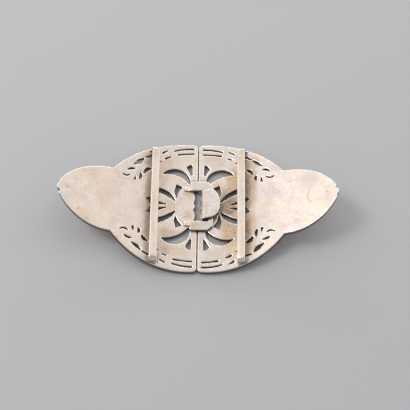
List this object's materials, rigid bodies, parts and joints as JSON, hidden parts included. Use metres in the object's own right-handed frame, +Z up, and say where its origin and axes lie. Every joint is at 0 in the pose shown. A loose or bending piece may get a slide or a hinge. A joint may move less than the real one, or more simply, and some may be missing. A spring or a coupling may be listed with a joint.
{
  "type": "belt clasp buckle",
  "caption": "Nurse's belt clasp buckle: bowed, pierced silver halves with end lobes, flat belt bars and a folded hook held in an eye loop, lying back up.",
  "frame": {"origin": "on the surface it lies on, under the middle of the joint between the halves", "axes": "+X along the belt towards the half with the hook, +Y across the belt, +Z up, towards the wearer's side"},
  "size_m": [0.1152, 0.0612, 0.0182],
  "materials": {
    "left_silver": "worn satin silver, warmer on the lobe, brown tarnish by the bar",
    "right_silver": "worn satin silver, whiter on the lobe, brown tarnish between the hook and the bar"
  },
  "bodies": {
    "root": {"left_half": "left_silver", "right_half": "right_silver"}
  },
  "joints": []
}
